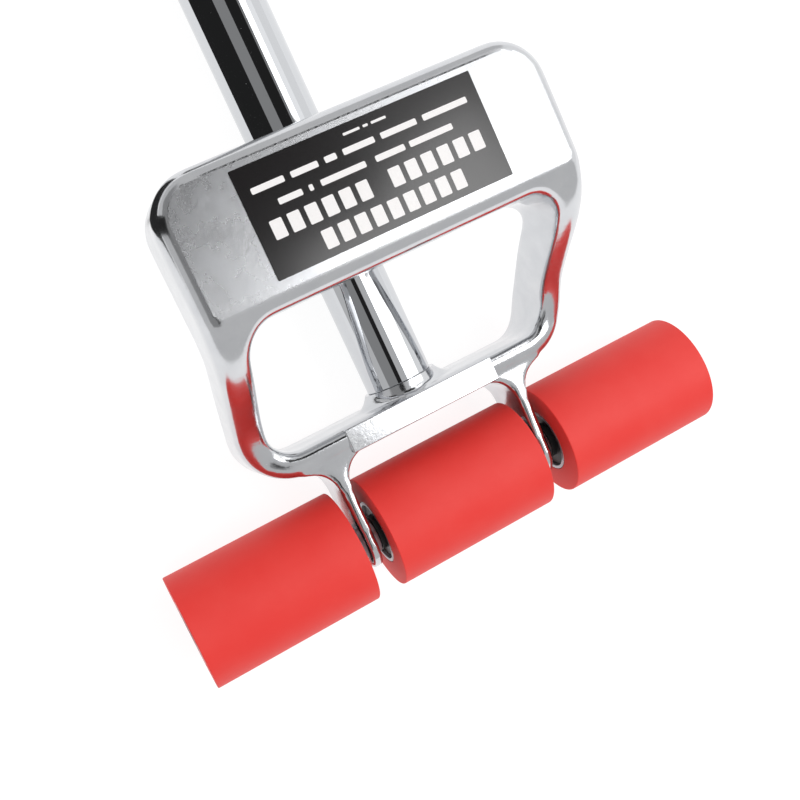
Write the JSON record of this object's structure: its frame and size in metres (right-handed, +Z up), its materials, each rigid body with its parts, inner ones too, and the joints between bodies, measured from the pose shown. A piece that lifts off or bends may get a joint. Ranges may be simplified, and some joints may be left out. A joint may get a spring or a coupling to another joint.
{
  "type": "extendable floor seam roller",
  "caption": "Hand roller for pressing floor covering: three rubber rollers on one axle, a cast head with a raised D grip, and a telescopic tube with a twist lock.",
  "frame": {"origin": "bottom centre of the bounding box, on the surface that the tool lies on, with the handle pushed in", "axes": "+X along the roller axle, +Y along the tube from the rollers to the end grip, +Z up, away from the surface and through the face of the D grip"},
  "size_m": [0.1906, 0.4318, 0.0828],
  "materials": {
    "red_rubber": "matt ground rubber",
    "black_rubber": "matt moulded rubber",
    "chrome": "polished chrome plate",
    "cast_aluminium": "polished die casting with fine pits",
    "zinc_steel": "bright zinc plate",
    "black_nylon": "satin moulded nylon",
    "label_film": "glossy printed film"
  },
  "bodies": {
    "head": {"head_casting": "cast_aluminium", "label_plate": "label_film", "axle": "zinc_steel", "left_end_washer": "zinc_steel", "left_axle_clip": "zinc_steel", "left_inner_spacer": "zinc_steel", "left_outer_spacer": "zinc_steel", "right_end_washer": "zinc_steel", "right_axle_clip": "zinc_steel", "right_inner_spacer": "zinc_steel", "right_outer_spacer": "zinc_steel", "lower_tube": "chrome", "tube_foot_plug": "zinc_steel", "tube_screw": "zinc_steel", "lock_plug": "black_nylon", "lock_stud": "zinc_steel", "lock_nut": "zinc_steel"},
    "left_roller": {"left_roller_sleeve": "red_rubber", "left_roller_core": "zinc_steel", "left_roller_left_bush": "black_nylon", "left_roller_right_bush": "black_nylon"},
    "centre_roller": {"centre_roller_sleeve": "red_rubber", "centre_roller_core": "zinc_steel", "centre_roller_left_bush": "black_nylon", "centre_roller_right_bush": "black_nylon"},
    "right_roller": {"right_roller_sleeve": "red_rubber", "right_roller_core": "zinc_steel", "right_roller_left_bush": "black_nylon", "right_roller_right_bush": "black_nylon"},
    "lock_collet": {"lock_collet": "black_nylon"},
    "lock_cone": {"lock_cone": "zinc_steel"},
    "handle": {"upper_tube": "chrome", "tube_ferrule": "black_nylon", "upper_tube_end_plug": "black_nylon", "hand_grip": "black_rubber"}
  },
  "joints": [
    {"name": "left_roller_spin", "type": "hinge", "parent": "head", "child": "left_roller", "pos_m": [-0.06667, -0.19685, 0.01905], "axis": [1, 0, 0], "continuous": true},
    {"name": "centre_roller_spin", "type": "hinge", "parent": "head", "child": "centre_roller", "pos_m": [0, -0.19685, 0.01905], "axis": [1, 0, 0], "continuous": true},
    {"name": "right_roller_spin", "type": "hinge", "parent": "head", "child": "right_roller", "pos_m": [0.06667, -0.19685, 0.01905], "axis": [1, 0, 0], "continuous": true},
    {"name": "handle_twist", "type": "hinge", "parent": "head", "child": "lock_collet", "pos_m": [0, 0.17, 0.01905], "axis": [0, 1, 0], "range_deg": [0, 180]},
    {"name": "cone_travel", "type": "slide", "parent": "lock_collet", "child": "lock_cone", "axis": [0, 1, 0], "range_m": [0, 0.001]},
    {"name": "handle_extend", "type": "slide", "parent": "lock_collet", "child": "handle", "axis": [0, 1, 0], "range_m": [0, 0.254]}
  ],
  "couplings": [
    {"joint": "cone_travel", "follows": "handle_twist", "m_per_rad": 0.000318}
  ]
}
